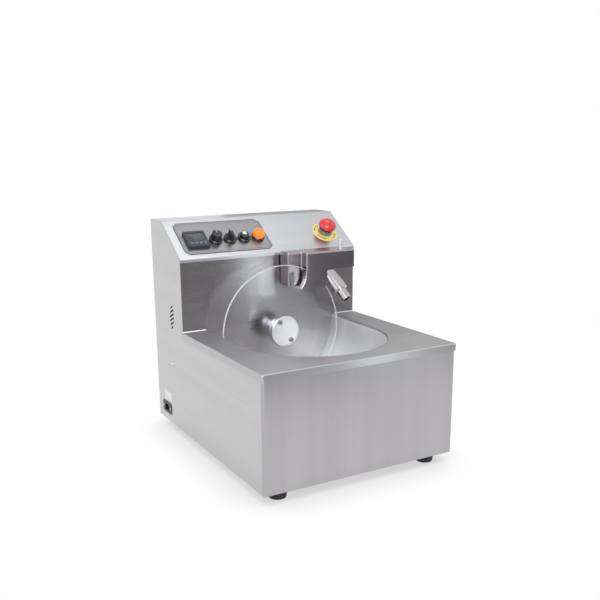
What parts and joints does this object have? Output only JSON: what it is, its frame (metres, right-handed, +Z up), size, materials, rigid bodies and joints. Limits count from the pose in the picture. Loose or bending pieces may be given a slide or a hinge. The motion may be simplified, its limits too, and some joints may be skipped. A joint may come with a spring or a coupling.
{
  "type": "chocolate tempering machine",
  "caption": "Table-top chocolate tempering machine: upright clear wheel over a heated open tank, lift-off scraper hood with spout, sloping control panel with display, knobs and stop button.",
  "frame": {"origin": "on the table, under the middle of the machine's overall box, at the undersides of the feet", "axes": "+X to the operator's right, +Y from the operator to the back, +Z up; the operator's front is -Y"},
  "size_m": [0.43, 0.53, 0.472],
  "materials": {
    "casing_steel": "satin brushed stainless steel",
    "front_steel": "satin brushed stainless steel, grain upright",
    "deck_steel": "satin brushed stainless steel",
    "cowl_steel": "satin brushed stainless steel, grain across",
    "wall_steel": "fine brushed stainless steel, grain upright",
    "tank_steel": "polished stainless steel",
    "chute_steel": "polished stainless steel",
    "hub_steel": "turned stainless steel",
    "screw_steel": "plain stainless steel",
    "bracket_steel": "plain sheet steel",
    "cast_housing": "machined aluminium",
    "bush_bronze": "plain bronze",
    "foot_rubber": "matte black rubber",
    "heater_silicone": "matte silicone",
    "sensor_block": "plain aluminium",
    "overlay_film": "thin satin film",
    "controller_plastic": "fine-grained dark plastic",
    "display_glass": "smooth display window",
    "key_plastic": "matte grey-blue plastic",
    "fitting_black": "semi-gloss black plastic",
    "knob_black": "fine-grained black plastic",
    "nut_plastic": "plain black plastic",
    "block_plastic": "plain black plastic",
    "collar_plastic": "fine-grained grey plastic",
    "window_white": "translucent white plastic",
    "lamp_orange": "translucent orange plastic",
    "stop_yellow": "smooth yellow plastic",
    "stop_red": "smooth red plastic",
    "wheel_clear": "clear polycarbonate",
    "blade_plastic": "white food-safe plastic",
    "inlet_plastic": "plain black plastic",
    "blade_brass": "plated brass",
    "motor_paint": "satin dark grey paint",
    "relay_plastic": "plain grey plastic"
  },
  "bodies": {
    "machine": {"base_plate": "casing_steel", "feet": "foot_rubber", "foot_screws": "screw_steel", "front_panel": "front_steel", "side_panel_left": "casing_steel", "side_panel_right": "casing_steel", "rear_cover": "casing_steel", "casing_screws": "screw_steel", "cross_brace": "bracket_steel", "deck_plate": "deck_steel", "tank": "tank_steel", "heater_mats": "heater_silicone", "tank_sensor": "sensor_block", "back_wall": "wall_steel", "control_cowl": "cowl_steel", "panel_overlay": "overlay_film", "controller_case": "controller_plastic", "controller_display": "display_glass", "switch_bezels": "fitting_black", "panel_nuts": "nut_plastic", "contact_blocks": "block_plastic", "lamp_lens": "lamp_orange", "stop_plate": "stop_yellow", "stop_collar": "collar_plastic", "bearing_housing": "cast_housing", "bearing_bushes": "bush_bronze", "shaft_seal": "foot_rubber", "motor_bracket": "bracket_steel", "wall_studs": "screw_steel", "gear_motor": "motor_paint", "motor_screws": "screw_steel", "hood_studs": "hub_steel", "power_inlet": "inlet_plastic", "inlet_blades": "blade_brass", "fan_frame": "block_plastic", "relays": "relay_plastic"},
    "wheel": {"wheel_disc": "wheel_clear", "hub_boss": "hub_steel", "hub_cap": "hub_steel", "hub_screws": "screw_steel", "wheel_shaft": "hub_steel", "shaft_coupling": "hub_steel", "motor_shaft": "hub_steel"},
    "fan": {"fan_rotor": "block_plastic"},
    "speed_knob": {"speed_knob": "knob_black"},
    "selector": {"selector_knob": "knob_black"},
    "push_button": {"push_button": "knob_black", "push_window": "window_white"},
    "key_set": {"controller_key_set": "key_plastic"},
    "key_shift": {"controller_key_shift": "key_plastic"},
    "key_down": {"controller_key_down": "key_plastic"},
    "key_up": {"controller_key_up": "key_plastic"},
    "stop_plunger": {"stop_plunger": "block_plastic"},
    "stop_head": {"stop_head": "stop_red"},
    "scraper": {"chute_hood": "chute_steel", "front_skirt": "chute_steel", "rear_skirt": "chute_steel", "scraper_blades": "blade_plastic", "spout": "chute_steel", "lift_pin": "hub_steel"}
  },
  "joints": [
    {"name": "wheel_spin", "type": "hinge", "parent": "machine", "child": "wheel", "pos_m": [0, 0.055, 0.2365], "axis": [0, 1, 0], "continuous": true},
    {"name": "fan_spin", "type": "hinge", "parent": "machine", "child": "fan", "pos_m": [-0.2, 0.156, 0.269], "axis": [1, 0, 0], "continuous": true},
    {"name": "speed_knob_turn", "type": "hinge", "parent": "machine", "child": "speed_knob", "pos_m": [-0.1146, 0.13778, 0.43025], "axis": [0, 0.5736, -0.8192], "range_deg": [0, 270]},
    {"name": "selector_turn", "type": "hinge", "parent": "machine", "child": "selector", "pos_m": [-0.0808, 0.13778, 0.43025], "axis": [0, 0.5736, -0.8192], "range_deg": [-45, 45]},
    {"name": "push_button_press", "type": "slide", "parent": "machine", "child": "push_button", "axis": [0, 0.5736, -0.8192], "range_m": [0, 0.004], "stiffness_N_per_m": 400, "springref_m": -0.002},
    {"name": "key_set_press", "type": "slide", "parent": "machine", "child": "key_set", "axis": [0, 0.5736, -0.8192], "range_m": [0, 0.0006], "stiffness_N_per_m": 800, "springref_m": -0.0005},
    {"name": "key_shift_press", "type": "slide", "parent": "machine", "child": "key_shift", "axis": [0, 0.5736, -0.8192], "range_m": [0, 0.0006], "stiffness_N_per_m": 800, "springref_m": -0.0005},
    {"name": "key_down_press", "type": "slide", "parent": "machine", "child": "key_down", "axis": [0, 0.5736, -0.8192], "range_m": [0, 0.0006], "stiffness_N_per_m": 800, "springref_m": -0.0005},
    {"name": "key_up_press", "type": "slide", "parent": "machine", "child": "key_up", "axis": [0, 0.5736, -0.8192], "range_m": [0, 0.0006], "stiffness_N_per_m": 800, "springref_m": -0.0005},
    {"name": "stop_push", "type": "slide", "parent": "machine", "child": "stop_plunger", "axis": [0, 0.5736, -0.8192], "range_m": [0, 0.0045]},
    {"name": "stop_twist", "type": "hinge", "parent": "stop_plunger", "child": "stop_head", "pos_m": [0.16, 0.13778, 0.43025], "axis": [0, 0.5736, -0.8192], "range_deg": [0, 40], "stiffness_Nm_per_rad": 0.05},
    {"name": "scraper_lift", "type": "slide", "parent": "machine", "child": "scraper", "axis": [0, 0, 1], "range_m": [0, 0.08]}
  ]
}
